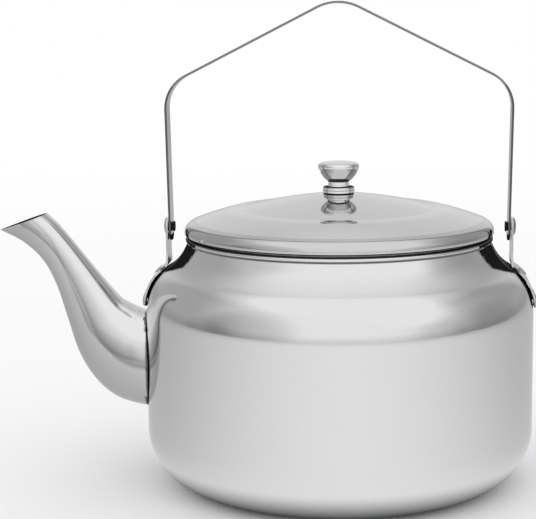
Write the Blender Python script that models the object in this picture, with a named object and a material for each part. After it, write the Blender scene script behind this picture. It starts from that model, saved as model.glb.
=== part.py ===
"""Camp coffee kettle of pressed stainless steel, with a swinging bail and a lift-off lid.

Metres, +Z up. The origin is the middle of the flat base, and the kettle's axis is Z. The spout
points along -X. The bail swings about X, through the two pivot rivets in the ears.
"""
import math

import bmesh
import bpy
from mathutils import Matrix, Vector

# Fits between pieces
SEAM = 0.0003
HOLE_CLEARANCE = 0.0003

# Length of the cylinders that cut the holes
CUT_LENGTH = 0.012

# Body, a drawn pot with a turned-in shoulder, a coned neck and a rolled rim
BODY_RADIUS = 0.095
BODY_WALL = 0.0008
BASE_ROUND = 0.028
WALL_TOP = 0.084
SHOULDER_RISE = 0.0235
SHOULDER_RUN = 0.015
NECK_RISE = 0.0135
NECK_RUN = 0.0062
CREASE_ROUND = 0.003
RIM_BEAD = 0.00105

# Strainer holes in the wall behind the spout
STRAINER_HOLE = 0.005
STRAINER_PITCH = 0.0085
STRAINER_RADIUS = 0.0175

# Spout, a lofted tube
SPOUT_WALL = 0.0008
SPOUT_FOOT = 0.036

# Stations of the spout, from root to mouth: how far the upper edge stands out from the body's wall and
# above the spout's foot, the same for the lower edge, and the width of the section
SPOUT_STATIONS = [
    (-0.0120, 0.0480, -0.0120, 0.0000, 0.0460),
    (0.0005, 0.0480, 0.0010, 0.0002, 0.0460),
    (0.0050, 0.0494, 0.0160, 0.0045, 0.0420),
    (0.0088, 0.0513, 0.0270, 0.0138, 0.0370),
    (0.0134, 0.0540, 0.0350, 0.0270, 0.0315),
    (0.0184, 0.0595, 0.0405, 0.0440, 0.0255),
    (0.0274, 0.0705, 0.0460, 0.0613, 0.0195),
    (0.0370, 0.0826, 0.0525, 0.0735, 0.0160),
    (0.0440, 0.0910, 0.0622, 0.0825, 0.0135),
    (0.0499, 0.0966, 0.0736, 0.0884, 0.0120),
]
SPOUT_ROOT_HEIGHT = SPOUT_STATIONS[0][1] - SPOUT_STATIONS[0][3]
SPOUT_BEAK = 0.45
SPOUT_BEAK_START_RATIO = 0.7

# Lid, a spun crown with a rounded shoulder and a hemmed edge
LID_OVERHANG = 0.0005
LID_WALL = 0.0007
LID_REST_GAP = 0.0003
LID_HEM = 0.0009
LID_EDGE_HEIGHT = 0.0022
LID_SHOULDER_ROUND = 0.005
LID_SHOULDER_ANGLE = math.radians(21.0)
LID_CONE_ANGLE = math.radians(9.8)
LID_CONE_RADIUS = 0.041
LID_LAND_RADIUS = 0.0085

# Skirt, the ring under the lid that drops into the neck
SKIRT_WALL = 0.0007
SKIRT_DEPTH = 0.010
SKIRT_CLEARANCE = 0.0007
SKIRT_FLANGE = 0.009
SKIRT_BEND = 0.002

# Knob and what holds it
KNOB_BASE_RADIUS = 0.0077
KNOB_BASE_HEIGHT = 0.0022
KNOB_BASE_ROUND = 0.0007
KNOB_WAIST_RADIUS = 0.0051
KNOB_WAIST_HEIGHT = 0.0026
KNOB_BOWL_RADIUS = 0.010
KNOB_BOWL_HEIGHT = 0.0069
KNOB_BOWL_FULLNESS = 1.4
KNOB_CROWN_HEIGHT = 0.0026
KNOB_CROWN_FULLNESS = 4.0
KNOB_BORE_DEPTH = 0.008
SCREW_RADIUS = 0.002
SCREW_HEAD_RADIUS = 0.0038
SCREW_HEAD_HEIGHT = 0.0024
SCREW_HEAD_CHAMFER = 0.0007
SCREW_SLOT_WIDTH = 0.001
SCREW_SLOT_DEPTH = 0.0012
WASHER_RADIUS = 0.0055
WASHER_THICKNESS = 0.0008

# Ears, bent plates on the shoulder in line with the spout. The tab stands outside the crease, and the
# plate starts and ends at depths below the crease
EAR_THICKNESS = 0.001
EAR_TAB_OUTSIDE_CREASE = 0.0046
EAR_TAB_WIDTH = 0.014
EAR_TAB_CORNER = 0.004
EAR_TAB_ABOVE_PIVOT = 0.0044
EAR_PLATE_WIDTH = 0.026
EAR_PLATE_CORNER = 0.007
EAR_PLATE_START = 0.0012
EAR_PLATE_END = 0.0203
EAR_BEND_ROUND = 0.002
EAR_FLARE_ABOVE_BEND = 0.006
EAR_FLARE_BELOW_BEND = 0.008

# Rivets of the ears: an upper one on the plate's middle line, and a lower pair, at depths below the crease
EAR_RIVET_RADIUS = 0.0016
EAR_RIVET_HEAD_RADIUS = 0.003
EAR_RIVET_HEAD_HEIGHT = 0.0006
EAR_RIVET_TAIL_RADIUS = 0.0026
EAR_RIVET_TAIL_HEIGHT = 0.0009
EAR_RIVET_UPPER_DEPTH = 0.004
EAR_RIVET_LOWER_DEPTH = 0.0165
EAR_RIVET_SPREAD = 0.007

# Bail, a bent strip of spring steel on two pivot rivets, its corners and peak measured from the pivots
PIVOT_ABOVE_CREASE = 0.0188
BAIL_THICKNESS = 0.0011
BAIL_WIDTH = 0.0125
BAIL_SIDE_GAP = 0.0005
BAIL_END_BELOW_PIVOT = 0.0068
BAIL_CORNER_ABOVE_PIVOT = 0.0690
BAIL_CORNER_SPREAD = 0.0014
BAIL_APEX_ABOVE_PIVOT = 0.1115
BAIL_CORNER_ROUND = 0.018
BAIL_APEX_ROUND = 0.0225
PIVOT_RADIUS = 0.002
PIVOT_HEAD_RADIUS = 0.00435
PIVOT_HEAD_HEIGHT = 0.0013
PIVOT_TAIL_RADIUS = 0.0027
PIVOT_TAIL_HEIGHT = 0.0013

# Steps of the round forms
BODY_STEPS = 48
LID_STEPS = 48
SMALL_STEPS = 20
RIVET_STEPS = 10
SPOUT_STEPS = 24
SPOUT_BETWEEN_STEPS = 2

CREASE_RADIUS = BODY_RADIUS - SHOULDER_RUN
CREASE_HEIGHT = WALL_TOP + SHOULDER_RISE
NECK_TOP_RADIUS = CREASE_RADIUS - NECK_RUN
RIM_HEIGHT = CREASE_HEIGHT + NECK_RISE
MOUTH_RADIUS = NECK_TOP_RADIUS - BODY_WALL
RIM_TOP = RIM_HEIGHT + RIM_BEAD
LID_RADIUS = MOUTH_RADIUS + 2 * RIM_BEAD + LID_OVERHANG
EAR_TAB_REACH = CREASE_RADIUS + EAR_TAB_OUTSIDE_CREASE
PIVOT_HEIGHT = CREASE_HEIGHT + PIVOT_ABOVE_CREASE


def arc(centre, radius, start, end, steps):
    """Points of an arc in degrees, both ends included."""
    points = []
    for i in range(steps + 1):
        angle = math.radians(start + (end - start) * i / steps)
        points.append((centre[0] + radius * math.cos(angle), centre[1] + radius * math.sin(angle)))
    return points


def offset_path(points, distance):
    """The path shifted to its left by distance, with mitred corners."""
    shifted = []
    for i, point in enumerate(points):
        before = Vector(point) - Vector(points[i - 1]) if i else None
        after = Vector(points[i + 1]) - Vector(point) if i + 1 < len(points) else None
        normals = [Vector((-edge.y, edge.x)).normalized() for edge in (before, after) if edge]
        middle = sum(normals, Vector((0.0, 0.0))).normalized()
        shifted.append(tuple(Vector(point) + middle * distance / middle.dot(normals[0])))
    return shifted


def rounded_path(corners, radii, steps):
    """Straight runs through the corners, each inner corner rounded to its radius."""
    points = [corners[0]]
    for before, corner, after, radius in zip(corners, corners[1:], corners[2:], radii):
        corner = Vector(corner)
        back = (Vector(before) - corner).normalized()
        ahead = (Vector(after) - corner).normalized()
        half = back.angle(ahead) / 2
        centre = corner + (back + ahead).normalized() * radius / math.sin(half)
        first = corner + back * radius / math.tan(half) - centre
        last = corner + ahead * radius / math.tan(half) - centre
        turn = first.angle_signed(last)
        for i in range(steps + 1):
            spoke = first.copy()
            spoke.rotate(Matrix.Rotation(-turn * i / steps, 2))
            points.append(tuple(centre + spoke))
    points.append(corners[-1])
    return points


def steel(name, shade, roughness):
    """A bare steel for one sub-part."""
    material = bpy.data.materials.new(name)
    material.use_nodes = True
    shader = material.node_tree.nodes["Principled BSDF"]
    shader.inputs["Base Color"].default_value = (shade, shade, shade, 1.0)
    shader.inputs["Roughness"].default_value = roughness
    shader.inputs["Metallic"].default_value = 1.0
    return material


def add_object(name, bm, material, sharp_angle=35.0):
    """Turn a bmesh into a named object, shaded smooth up to the sharp angle."""
    bmesh.ops.recalc_face_normals(bm, faces=bm.faces)
    mesh = bpy.data.meshes.new(name)
    bm.to_mesh(mesh)
    bm.free()
    mesh.shade_smooth()
    mesh.set_sharp_from_angle(angle=math.radians(sharp_angle))
    node = bpy.data.objects.new(name, mesh)
    bpy.context.collection.objects.link(node)
    if material:
        mesh.materials.append(material)
    return node


def turned(name, outline, steps, material=None, closed=False):
    """A solid turned about Z from an outline of (radius, height) points.

    An open outline starts and ends on the axis; a closed one stays clear of it.
    """
    bm = bmesh.new()
    ring = [bm.verts.new((radius, 0.0, height)) for radius, height in outline]
    edges = [bm.edges.new(pair) for pair in zip(ring, ring[1:])]
    if closed:
        edges.append(bm.edges.new((ring[-1], ring[0])))
    bmesh.ops.spin(bm, geom=ring + edges, cent=(0, 0, 0), axis=(0, 0, 1), angle=math.tau,
                   steps=steps, use_merge=True, use_duplicate=False)
    bmesh.ops.remove_doubles(bm, verts=bm.verts, dist=1e-6)
    return add_object(name, bm, material)


def lofted(name, loops, material=None, ring=False):
    """A solid skinned over loops of equal length; a ring joins its last loop to its first."""
    bm = bmesh.new()
    rows = [[bm.verts.new(point) for point in loop] for loop in loops]
    pairs = list(zip(rows, rows[1:]))
    if ring:
        pairs.append((rows[-1], rows[0]))
    else:
        bm.faces.new(rows[0])
        bm.faces.new(rows[-1])
    for first, second in pairs:
        for i in range(len(first)):
            j = (i + 1) % len(first)
            bm.faces.new((first[i], first[j], second[j], second[i]))
    return add_object(name, bm, material)


def cutter(node):
    """Mark an object as one that only cuts."""
    node.hide_render = True
    node.display_type = "WIRE"
    return node


def cut(node, tool):
    """Take the tool's volume away from the node."""
    boolean = node.modifiers.new(tool.name, "BOOLEAN")
    boolean.operation = "DIFFERENCE"
    boolean.object = tool


def cylinder_tool(name, radius, place, direction):
    """A cylinder that cuts a hole through a place, along a direction."""
    half = CUT_LENGTH / 2
    tool = turned(name, [(0.0, -half), (radius, -half), (radius, half), (0.0, half)], RIVET_STEPS)
    tool.location = place
    tool.rotation_euler = Vector(direction).to_track_quat("Z", "Y").to_euler()
    return cutter(tool)


def shoulder_point(height):
    """Radius of the shoulder's outside at a height, and its outward normal in the (r, z) plane."""
    across = SHOULDER_RUN
    up = SHOULDER_RISE
    rise = (height - WALL_TOP) / up
    run = math.sqrt(1.0 - rise * rise)
    normal = Vector((run / across, rise / up)).normalized()
    return Vector((CREASE_RADIUS + across * run, height)), normal


def body_outside(base_steps=8, shoulder_steps=7, crease_steps=3):
    """Outside of the body, from the middle of the base up to the rim's bead."""
    points = [(0.0, 0.0)]
    points += arc((BODY_RADIUS - BASE_ROUND, BASE_ROUND), BASE_ROUND, -90, 0, base_steps)
    end_angle = math.acos(CREASE_ROUND / SHOULDER_RUN)
    for i in range(shoulder_steps + 1):
        angle = end_angle * i / shoulder_steps
        points.append((CREASE_RADIUS + SHOULDER_RUN * math.cos(angle),
                       WALL_TOP + SHOULDER_RISE * math.sin(angle)))
    crease = Vector((CREASE_RADIUS, CREASE_HEIGHT))
    neck_top = Vector((NECK_TOP_RADIUS, RIM_HEIGHT - RIM_BEAD))
    first = Vector(points[-1])
    last = crease + (neck_top - crease).normalized() * CREASE_ROUND
    for i in range(1, crease_steps + 1):
        t = i / crease_steps
        points.append(tuple(first * (1 - t) ** 2 + crease * 2 * t * (1 - t) + last * t ** 2))
    points.append(tuple(neck_top))
    return points


def make_body():
    """The pot: one drawn shell with its rim rolled outwards."""
    outside = body_outside()
    inside = offset_path(outside[1:], BODY_WALL)
    bead = arc((MOUTH_RADIUS + RIM_BEAD, RIM_HEIGHT), RIM_BEAD, -80, 180, 7)
    outline = outside + bead + inside[::-1] + [(0.0, BODY_WALL)]
    body = turned("kettle_body", outline, BODY_STEPS, steel("body_steel", 0.62, 0.30))

    rows = math.ceil(STRAINER_RADIUS / STRAINER_PITCH)
    middle = SPOUT_FOOT + SPOUT_ROOT_HEIGHT / 2
    for row in range(-rows, rows + 1):
        for column in range(-rows, rows + 1):
            y = (column + 0.5 * (row % 2)) * STRAINER_PITCH
            z = row * STRAINER_PITCH * math.cos(math.radians(30))
            if math.hypot(y, z) <= STRAINER_RADIUS:
                tool = cylinder_tool(f"strainer_cut_{row}_{column}", STRAINER_HOLE / 2,
                                     (-BODY_RADIUS, y, middle + z), (1, 0, 0))
                cut(body, tool)
    return body


def smooth_rows(rows, substeps):
    """Rows of numbers, with Catmull-Rom rows between them."""
    result = []
    for i in range(len(rows) - 1):
        before = rows[max(i - 1, 0)]
        after = rows[min(i + 2, len(rows) - 1)]
        for k in range(substeps):
            t = k / substeps
            result.append([
                0.5 * (2 * b + (c - a) * t + (2 * a - 5 * b + 4 * c - d) * t * t
                       + (3 * b - a - 3 * c + d) * t * t * t)
                for a, b, c, d in zip(before, rows[i], rows[i + 1], after)
            ])
    result.append(list(rows[-1]))
    return result


def spout_loops(wall):
    """Sections of the spout from root to mouth, shrunk by the wall."""
    loops = []
    rows = smooth_rows(SPOUT_STATIONS, SPOUT_BETWEEN_STEPS)
    for i, (upper_out, upper_up, lower_out, lower_up, width) in enumerate(rows):
        upper = Vector((-BODY_RADIUS - upper_out, 0.0, SPOUT_FOOT + upper_up))
        lower = Vector((-BODY_RADIUS - lower_out, 0.0, SPOUT_FOOT + lower_up))
        middle = (upper + lower) / 2
        half = (upper - lower) / 2
        along = half.normalized() * (half.length - wall)
        across = width / 2 - wall
        reach = i / (len(rows) - 1)
        beak = SPOUT_BEAK * max(0.0, reach - SPOUT_BEAK_START_RATIO) / (1.0 - SPOUT_BEAK_START_RATIO)
        loop = []
        for k in range(SPOUT_STEPS):
            angle = math.tau * k / SPOUT_STEPS
            swell = 1.0 + beak * math.cos(angle)
            loop.append(middle + along * math.cos(angle)
                        + Vector((0.0, across * math.sin(angle) * swell, 0.0)))
        loops.append(loop)
    return loops


def make_spout():
    """The spout, its root cut to the body's wall."""
    outer = spout_loops(0.0)
    inner = spout_loops(SPOUT_WALL)
    spout = lofted("spout", outer + inner[::-1], steel("spout_steel", 0.66, 0.12), ring=True)
    skin = offset_path(body_outside()[:-1], -SEAM)
    envelope = turned("spout_root_cut", [(0.0, -SEAM)] + skin[1:] + [(0.0, skin[-1][1])], BODY_STEPS)
    cut(spout, cutter(envelope))
    return spout


def lid_outside(crown_steps=3, shoulder_steps=5):
    """Top of the lid from its land to its lower edge, as (radius, height)."""
    widest = RIM_TOP + LID_REST_GAP + LID_EDGE_HEIGHT
    centre = (LID_RADIUS - LID_SHOULDER_ROUND, widest)
    start = 90.0 - math.degrees(LID_SHOULDER_ANGLE)
    shoulder = arc(centre, LID_SHOULDER_ROUND, start, 0, shoulder_steps)
    crown = []
    r_end, z_end = shoulder[0]
    turn = LID_SHOULDER_ANGLE - LID_CONE_ANGLE
    radius = (r_end - LID_CONE_RADIUS) / (math.sin(LID_SHOULDER_ANGLE) - math.sin(LID_CONE_ANGLE))
    for i in range(crown_steps):
        angle = LID_CONE_ANGLE + turn * i / crown_steps
        r = r_end - radius * (math.sin(LID_SHOULDER_ANGLE) - math.sin(angle))
        z = z_end + radius * (math.cos(angle) - math.cos(LID_SHOULDER_ANGLE))
        crown.append((r, z))
    land_height = crown[0][1] + (LID_CONE_RADIUS - LID_LAND_RADIUS) * math.tan(LID_CONE_ANGLE)
    return [(LID_LAND_RADIUS, land_height)] + crown + shoulder


LAND_HEIGHT = lid_outside()[0][1]
KNOB_FOOT = LAND_HEIGHT + SEAM
BORE_RADIUS = SCREW_RADIUS + HOLE_CLEARANCE


def make_lid_cover():
    """The lid's crown, with a hem round its edge and a hole for the knob's screw."""
    outside = lid_outside()
    inside = offset_path(outside, -LID_WALL)
    edge = RIM_TOP + LID_REST_GAP + LID_HEM
    hem = arc((LID_RADIUS - LID_HEM, edge), LID_HEM, 0, -180, 4)
    outline = [(BORE_RADIUS, LAND_HEIGHT)] + outside + hem + inside[::-1]
    outline.append((BORE_RADIUS, LAND_HEIGHT - LID_WALL))
    return turned("lid_cover", outline, LID_STEPS, steel("lid_steel", 0.66, 0.10), closed=True)


def height_at(path, radius):
    """Height of a path of growing radius at one radius."""
    for (r1, z1), (r2, z2) in zip(path, path[1:]):
        if r1 <= radius <= r2:
            return z1 + (z2 - z1) * (radius - r1) / (r2 - r1)
    raise ValueError("radius is off the path")


def make_lid_skirt():
    """The ring under the crown: a flange welded to the crown and a wall inside the neck."""
    under = offset_path(lid_outside(), -(LID_WALL + SEAM))
    wall_radius = MOUTH_RADIUS - SKIRT_CLEARANCE
    bend = SKIRT_BEND
    radii = [wall_radius - SKIRT_FLANGE, wall_radius - SKIRT_FLANGE / 2 - bend / 2, wall_radius - bend]
    path = [(radius, height_at(under, radius)) for radius in radii]
    path += [(wall_radius, path[-1][1] - bend * 1.5), (wall_radius, RIM_TOP - SKIRT_DEPTH)]
    outline = path + offset_path(path, -SKIRT_WALL)[::-1]
    return turned("lid_skirt", outline, LID_STEPS, steel("skirt_steel", 0.6, 0.25), closed=True)


def full_quarter(width, height, fullness, steps):
    """A quarter curve from (width, 0) to (0, height); a fullness of 2 is an ellipse, more is squarer."""
    points = []
    for i in range(steps + 1):
        angle = math.radians(90.0 * i / steps)
        across = width * max(math.cos(angle), 0.0) ** (2.0 / fullness)
        points.append((across, height * math.sin(angle) ** (2.0 / fullness)))
    return points


def make_knob(bowl_steps=6, crown_steps=4):
    """The turned knob, bored from below for its screw."""
    waist_foot = KNOB_FOOT + KNOB_BASE_HEIGHT
    bowl_foot = waist_foot + KNOB_WAIST_HEIGHT
    bowl_top = bowl_foot + KNOB_BOWL_HEIGHT
    corner = KNOB_BASE_ROUND
    outline = [(0.0, KNOB_FOOT + KNOB_BORE_DEPTH), (BORE_RADIUS, KNOB_FOOT + KNOB_BORE_DEPTH),
               (BORE_RADIUS, KNOB_FOOT), (KNOB_BASE_RADIUS, KNOB_FOOT)]
    outline += arc((KNOB_BASE_RADIUS - corner, waist_foot - corner), corner, 0, 90, 3)
    outline += [(KNOB_WAIST_RADIUS, waist_foot)]
    bowl_width = KNOB_BOWL_RADIUS - KNOB_WAIST_RADIUS
    bowl = full_quarter(bowl_width, KNOB_BOWL_HEIGHT, KNOB_BOWL_FULLNESS, bowl_steps)
    outline += [(KNOB_WAIST_RADIUS + across, bowl_top - down) for across, down in bowl[::-1]]
    crown = full_quarter(KNOB_BOWL_RADIUS, KNOB_CROWN_HEIGHT, KNOB_CROWN_FULLNESS, crown_steps)
    outline += [(across, bowl_top + up) for across, up in crown[1:]]
    return turned("knob", outline, SMALL_STEPS, steel("knob_steel", 0.66, 0.08))


def make_knob_washer():
    """The washer between the lid's underside and the screw's head."""
    top = LAND_HEIGHT - LID_WALL - SEAM
    outline = [(BORE_RADIUS, top), (WASHER_RADIUS, top), (WASHER_RADIUS, top - WASHER_THICKNESS),
               (BORE_RADIUS, top - WASHER_THICKNESS)]
    return turned("knob_washer", outline, SMALL_STEPS, steel("washer_steel", 0.55, 0.3), closed=True)


def make_knob_screw():
    """The screw that comes up through the lid into the knob."""
    seat = LAND_HEIGHT - LID_WALL - WASHER_THICKNESS - 2 * SEAM
    foot = seat - SCREW_HEAD_HEIGHT
    tip = KNOB_FOOT + KNOB_BORE_DEPTH - SEAM
    outline = [(0.0, foot), (SCREW_HEAD_RADIUS - SCREW_HEAD_CHAMFER, foot),
               (SCREW_HEAD_RADIUS, foot + SCREW_HEAD_CHAMFER), (SCREW_HEAD_RADIUS, seat),
               (SCREW_RADIUS, seat), (SCREW_RADIUS, tip), (0.0, tip)]
    screw = turned("knob_screw", outline, SMALL_STEPS, steel("screw_steel", 0.5, 0.35))
    bm = bmesh.new()
    bmesh.ops.create_cube(bm, size=1.0)
    bmesh.ops.scale(bm, vec=(SCREW_HEAD_RADIUS * 3, SCREW_SLOT_WIDTH, SCREW_SLOT_DEPTH * 2), verts=bm.verts)
    slot = add_object("screw_slot_cut", bm, None)
    slot.location = (0.0, 0.0, foot)
    cut(screw, cutter(slot))
    return screw


def ear_path(side_steps=9):
    """Outer face of an ear, from the top of its tab to the end of its plate, in the (x, z) plane."""
    reach = SEAM + EAR_THICKNESS
    plate = []
    for i in range(side_steps + 1):
        depth = EAR_PLATE_START + (EAR_PLATE_END - EAR_PLATE_START) * i / side_steps
        point, normal = shoulder_point(CREASE_HEIGHT - depth)
        plate.append(tuple(point + normal * reach))
    plate = [p for p in plate if p[0] > EAR_TAB_REACH + EAR_BEND_ROUND]
    first, second = plate[0], plate[1]
    slope = (second[1] - first[1]) / (second[0] - first[0])
    bend = (EAR_TAB_REACH, first[1] + slope * (EAR_TAB_REACH - first[0]))
    top = (EAR_TAB_REACH, PIVOT_HEIGHT + EAR_TAB_ABOVE_PIVOT)
    return rounded_path([top, bend, first], [EAR_BEND_ROUND], 4)[:-1] + plate


def ear_half_width(along, total, bend_at):
    """Half the ear's width at a distance along its outer face."""
    flare = EAR_FLARE_ABOVE_BEND + EAR_FLARE_BELOW_BEND
    blend = min(max((along - bend_at + EAR_FLARE_ABOVE_BEND) / flare, 0.0), 1.0)
    blend = blend * blend * (3.0 - 2.0 * blend)
    half = (EAR_TAB_WIDTH + (EAR_PLATE_WIDTH - EAR_TAB_WIDTH) * blend) / 2
    for corner, distance in ((EAR_TAB_CORNER, along), (EAR_PLATE_CORNER, total - along)):
        if distance < corner:
            half -= corner - math.sqrt(max(corner ** 2 - (corner - distance) ** 2, 0.0))
    return half


def point_along(path, mark):
    """Point and left normal of a path at a distance along it."""
    left = mark
    for start, end in zip(path, path[1:]):
        edge = Vector(end) - Vector(start)
        if left <= edge.length:
            break
        left -= edge.length
    else:
        left = edge.length
    return Vector(start) + edge * min(left / edge.length, 1.0), Vector((-edge.y, edge.x)).normalized()


def path_marks(path):
    """Distances along a path of its own points."""
    marks = [0.0]
    for a, b in zip(path, path[1:]):
        marks.append(marks[-1] + (Vector(b) - Vector(a)).length)
    return marks


def make_ear(name, side):
    """A bent plate with a tab for the bail's pivot; side is +1 at the back, -1 over the spout."""
    outer = ear_path()
    inner = offset_path(outer, -EAR_THICKNESS)
    outer_marks = path_marks(outer)
    inner_marks = path_marks(inner)
    total = outer_marks[-1]
    bend_at = outer_marks[3]
    top = [EAR_TAB_CORNER * (1 - math.cos(math.radians(a))) for a in (25, 50, 70, 90)]
    foot = [total - EAR_PLATE_CORNER * (1 - math.cos(math.radians(a))) for a in (90, 65, 45, 25)]
    flare = [bend_at - EAR_FLARE_ABOVE_BEND * k / 3 for k in range(3)]
    loops = []
    for mark in sorted(set(outer_marks + top + foot + flare)):
        front = point_along(outer, mark)[0]
        back = point_along(inner, matched_mark(outer_marks, inner_marks, mark))[0]
        half = ear_half_width(mark, total, bend_at)
        loops.append([Vector((side * front.x, -half, front.y)), Vector((side * front.x, half, front.y)),
                      Vector((side * back.x, half, back.y)), Vector((side * back.x, -half, back.y))])
    ear = lofted(name, loops, steel(name + "_steel", 0.6, 0.2))
    pivot = cylinder_tool(name + "_pivot_cut", PIVOT_RADIUS + HOLE_CLEARANCE,
                          (side * EAR_TAB_REACH, 0.0, PIVOT_HEIGHT), (1, 0, 0))
    cut(ear, pivot)
    return ear


def matched_mark(marks, other, mark):
    """The distance along a parallel path that faces a distance along this one."""
    for a, b, c, d in zip(marks, marks[1:], other, other[1:]):
        if mark <= b:
            return c + (d - c) * (mark - a) / (b - a)
    return other[-1]


def rivet(name, head_radius, head_height, radius, grip, tail_radius, tail_height, material):
    """A rivet along Z: its head stands above Z = 0, and its tail is formed below the grip."""
    chamfer = tail_height / 3
    outline = [(0.0, -grip - tail_height), (tail_radius - chamfer, -grip - tail_height),
               (tail_radius, -grip - tail_height + chamfer), (tail_radius, -grip), (radius, -grip),
               (radius, 0.0)]
    outline += [(head_radius * math.cos(angle), head_height * math.sin(angle))
                for angle in (0.0, math.radians(22), math.radians(45), math.radians(68))]
    outline.append((0.0, head_height))
    return turned(name, outline, RIVET_STEPS, material)


def make_ear_rivets(name, ear, body, side):
    """Three rivets through an ear's plate and the body's shoulder, with their holes."""
    places = [(EAR_RIVET_UPPER_DEPTH, 0.0), (EAR_RIVET_LOWER_DEPTH, -EAR_RIVET_SPREAD),
              (EAR_RIVET_LOWER_DEPTH, EAR_RIVET_SPREAD)]
    for i, (depth, across) in enumerate(places, start=1):
        point, normal = shoulder_point(CREASE_HEIGHT - depth)
        edge = abs(across) + EAR_RIVET_HEAD_RADIUS
        sag = point.x - math.sqrt(point.x ** 2 - edge ** 2)
        grip = EAR_THICKNESS + 4 * SEAM + BODY_WALL + sag
        seat = point + normal * (EAR_THICKNESS + 2 * SEAM)
        place = Vector((side * seat.x, across, seat.y))
        axis = Vector((side * normal.x, 0.0, normal.y))
        node = rivet(f"{name}_rivet_{i}", EAR_RIVET_HEAD_RADIUS, EAR_RIVET_HEAD_HEIGHT, EAR_RIVET_RADIUS,
                     grip, EAR_RIVET_TAIL_RADIUS, EAR_RIVET_TAIL_HEIGHT,
                     steel(f"{name}_rivet_{i}_steel", 0.55, 0.25))
        node.location = place
        node.rotation_euler = axis.to_track_quat("Z", "Y").to_euler()
        tool = cylinder_tool(f"{name}_rivet_cut_{i}", EAR_RIVET_RADIUS + HOLE_CLEARANCE, place, axis)
        cut(ear, tool)
        cut(body, tool)


def bail_path():
    """Middle line of the bail's strip, in the (x, z) plane and from the pivots, from end to end."""
    leg = EAR_TAB_REACH - EAR_THICKNESS - BAIL_SIDE_GAP - BAIL_THICKNESS / 2
    foot = -BAIL_END_BELOW_PIVOT
    corner = leg + BAIL_CORNER_SPREAD
    corners = [(leg, foot), (corner, BAIL_CORNER_ABOVE_PIVOT), (0.0, BAIL_APEX_ABOVE_PIVOT),
               (-corner, BAIL_CORNER_ABOVE_PIVOT), (-leg, foot)]
    return rounded_path(corners, [BAIL_CORNER_ROUND, BAIL_APEX_ROUND, BAIL_CORNER_ROUND], 6)


def make_bail():
    """The bail: a strip bent to a peak, rounded at its two ends and drilled for the pivots."""
    path = bail_path()
    total = path_marks(path)[-1]
    round_end = BAIL_WIDTH / 2
    near = [round_end * (1 - math.cos(math.radians(a))) for a in (12, 35, 55, 75, 90)]
    marks = sorted(set(near + [total - mark for mark in near] + path_marks(path)[1:-1]))
    loops = []
    for mark in marks:
        point, normal = point_along(path, mark)
        end = min(mark, total - mark)
        half = round_end
        if end < round_end:
            half = math.sqrt(round_end ** 2 - (round_end - end) ** 2)
        outer = point - normal * BAIL_THICKNESS / 2
        inner = point + normal * BAIL_THICKNESS / 2
        loops.append([Vector((outer.x, -half, outer.y)), Vector((outer.x, half, outer.y)),
                      Vector((inner.x, half, inner.y)), Vector((inner.x, -half, inner.y))])
    bail = lofted("bail", loops, steel("bail_steel", 0.6, 0.2))
    bail.location = (0.0, 0.0, PIVOT_HEIGHT)
    for side in (-1, 1):
        tool = cylinder_tool(f"bail_pivot_cut_{side}", PIVOT_RADIUS + HOLE_CLEARANCE,
                             (side * EAR_TAB_REACH, 0.0, PIVOT_HEIGHT), (1, 0, 0))
        cut(bail, tool)


def make_pivot(name, side):
    """The rivet that a foot of the bail turns on."""
    grip = EAR_THICKNESS + BAIL_SIDE_GAP + BAIL_THICKNESS + 2 * SEAM
    node = rivet(name, PIVOT_HEAD_RADIUS, PIVOT_HEAD_HEIGHT, PIVOT_RADIUS, grip, PIVOT_TAIL_RADIUS,
                 PIVOT_TAIL_HEIGHT, steel(name + "_steel", 0.55, 0.25))
    node.location = (side * (EAR_TAB_REACH + SEAM), 0.0, PIVOT_HEIGHT)
    node.rotation_euler = Vector((side, 0, 0)).to_track_quat("Z", "Y").to_euler()


def main():
    """Clear the file and build every piece."""
    for item in list(bpy.data.objects):
        bpy.data.objects.remove(item)
    body = make_body()
    make_spout()
    for name, side in (("spout_ear", -1), ("back_ear", 1)):
        ear = make_ear(name, side)
        make_ear_rivets(name, ear, body, side)
        make_pivot(name.replace("ear", "pivot"), side)
    make_bail()
    make_lid_cover()
    make_lid_skirt()
    make_knob()
    make_knob_washer()
    make_knob_screw()


main()
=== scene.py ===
"""Looks of the camp coffee kettle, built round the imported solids."""

import math

import bmesh
import bpy
from mathutils import Matrix, Vector


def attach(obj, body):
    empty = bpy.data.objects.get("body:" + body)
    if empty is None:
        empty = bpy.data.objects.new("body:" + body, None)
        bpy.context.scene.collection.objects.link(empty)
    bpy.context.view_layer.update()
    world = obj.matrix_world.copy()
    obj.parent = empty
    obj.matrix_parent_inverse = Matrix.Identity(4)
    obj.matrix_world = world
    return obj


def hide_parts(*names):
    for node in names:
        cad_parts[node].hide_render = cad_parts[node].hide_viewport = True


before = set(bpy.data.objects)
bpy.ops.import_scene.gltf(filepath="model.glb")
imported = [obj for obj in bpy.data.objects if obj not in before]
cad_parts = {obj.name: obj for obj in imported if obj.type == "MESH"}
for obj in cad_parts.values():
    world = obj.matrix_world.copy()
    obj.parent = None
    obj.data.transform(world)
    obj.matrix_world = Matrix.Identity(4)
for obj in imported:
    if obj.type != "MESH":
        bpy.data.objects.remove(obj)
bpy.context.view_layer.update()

# Sizes in metres. They are those of the solids but for the crease, the lid's sheet, edge and slopes, the
# knob's foot and bore, the pivots' tails and the spout's last two widths, which are finer here
SEAM = 0.0003
HOLE_CLEARANCE = 0.0003
CUT_LENGTH = 0.012
BODY_RADIUS = 0.095
BODY_WALL = 0.0008
BASE_ROUND = 0.028
WALL_TOP = 0.084
SHOULDER_RISE = 0.0235
SHOULDER_RUN = 0.015
NECK_RISE = 0.0135
NECK_RUN = 0.0062
CREASE_START = 70.0
RIM_BEAD = 0.00105
STRAINER_HOLE = 0.005
STRAINER_PITCH = 0.0085
STRAINER_RADIUS = 0.0175
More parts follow.
